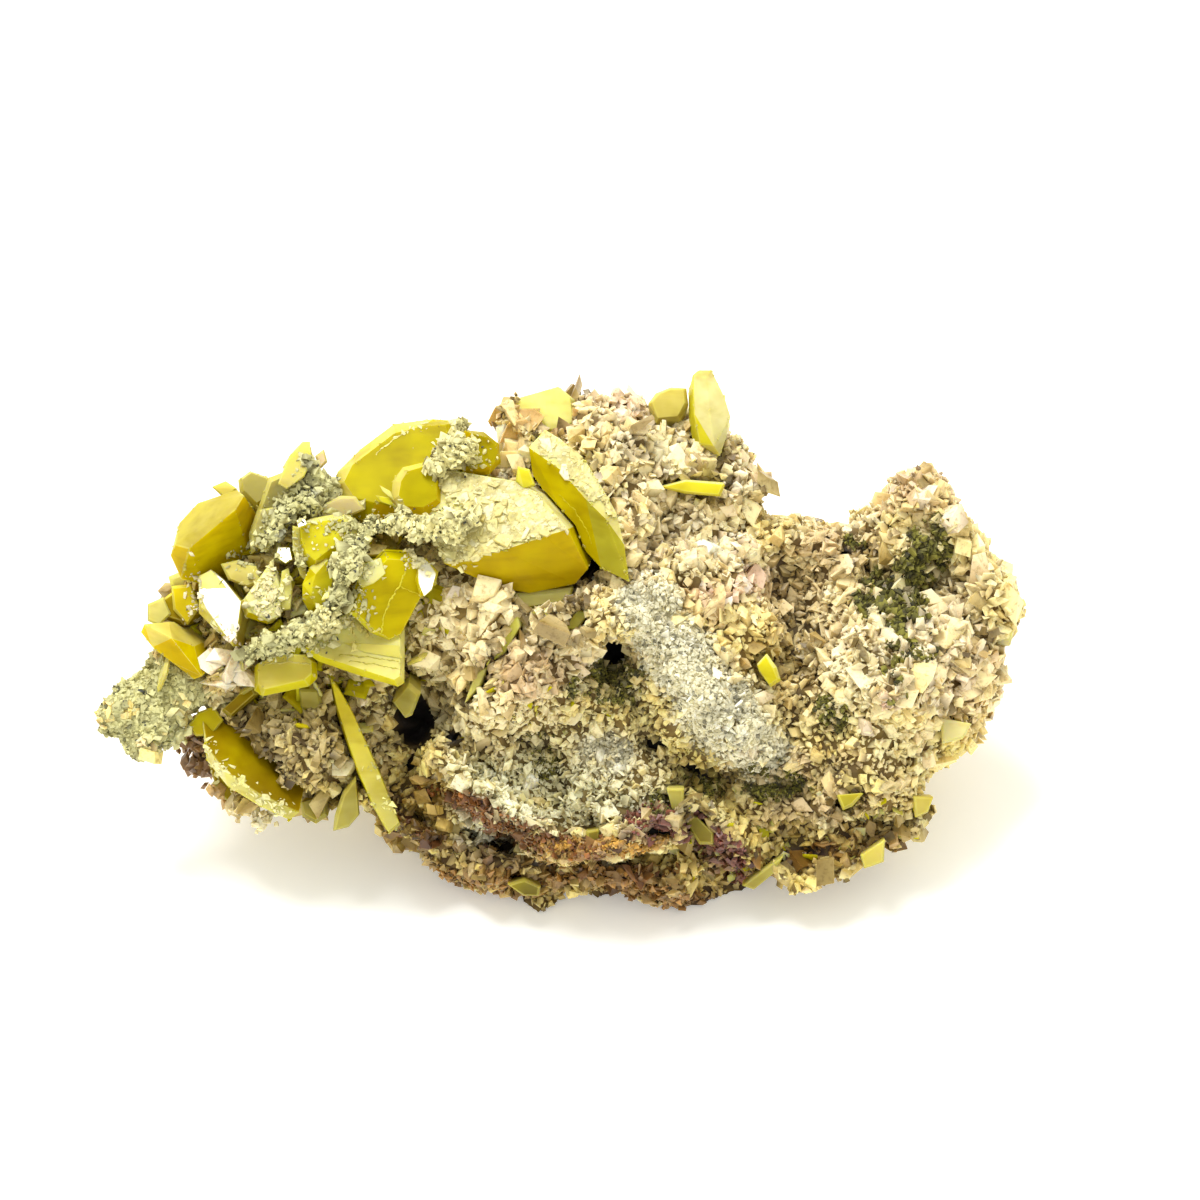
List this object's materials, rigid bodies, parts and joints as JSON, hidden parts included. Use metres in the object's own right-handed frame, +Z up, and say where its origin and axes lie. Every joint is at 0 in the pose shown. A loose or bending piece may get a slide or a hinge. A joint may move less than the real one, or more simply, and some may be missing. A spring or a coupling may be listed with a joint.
{
  "type": "wulfenite specimen",
  "caption": "Mineral specimen: a wedge of pale druse-crusted rock with golden tabular wulfenite crystals clustered at its upper left, resting on a flat cut base.",
  "frame": {"origin": "in the resting flat, under the middle of the bounding box", "axes": "+X along the specimen's length, to the right of the display face; +Y to the back; +Z up, away from the resting flat. The display face leans back at 45 degrees, towards -Y and +Z"},
  "size_m": [0.0938, 0.0484, 0.042],
  "materials": {
    "rock": "rough, sparkling druse of small pinkish-tan to cream blocky crystals",
    "gangue": "dull grey-green crumbly crust with dark specks",
    "wulfenite_gold": "translucent deep golden yellow, vitreous, with paler bevels",
    "wulfenite_lemon": "translucent pale lemon yellow, vitreous",
    "wulfenite_olive": "translucent olive yellow, vitreous"
  },
  "bodies": {
    "root": {"gangue_cap": "gangue", "gangue_left": "gangue", "gangue_ridge": "gangue", "host_rock": "rock", "wulfenite_blade_high": "wulfenite_lemon", "wulfenite_blade_low": "wulfenite_lemon", "wulfenite_block": "wulfenite_lemon", "wulfenite_centre": "wulfenite_gold", "wulfenite_crest_sliver": "wulfenite_lemon", "wulfenite_crusted": "wulfenite_gold", "wulfenite_curved": "wulfenite_olive", "wulfenite_left_crest": "wulfenite_olive", "wulfenite_left_edge": "wulfenite_gold", "wulfenite_left_thick": "wulfenite_gold", "wulfenite_long_blade": "wulfenite_olive", "wulfenite_low_left": "wulfenite_gold", "wulfenite_lower_plate": "wulfenite_gold", "wulfenite_mid_sliver": "wulfenite_lemon", "wulfenite_mirror": "wulfenite_lemon", "wulfenite_pale_foot": "wulfenite_lemon", "wulfenite_pale_tip": "wulfenite_lemon", "wulfenite_plate_1": "wulfenite_lemon", "wulfenite_plate_10": "wulfenite_lemon", "wulfenite_plate_2": "wulfenite_lemon", "wulfenite_plate_3": "wulfenite_lemon", "wulfenite_plate_4": "wulfenite_lemon", "wulfenite_plate_5": "wulfenite_lemon", "wulfenite_plate_6": "wulfenite_lemon", "wulfenite_plate_7": "wulfenite_lemon", "wulfenite_plate_8": "wulfenite_lemon", "wulfenite_plate_9": "wulfenite_lemon", "wulfenite_right_sliver": "wulfenite_lemon", "wulfenite_short_blade": "wulfenite_olive", "wulfenite_spear": "wulfenite_gold", "wulfenite_tall_blade": "wulfenite_lemon", "wulfenite_top_block": "wulfenite_lemon", "wulfenite_tucked": "wulfenite_olive", "wulfenite_twin": "wulfenite_lemon", "wulfenite_under_plate": "wulfenite_lemon"}
  },
  "joints": []
}
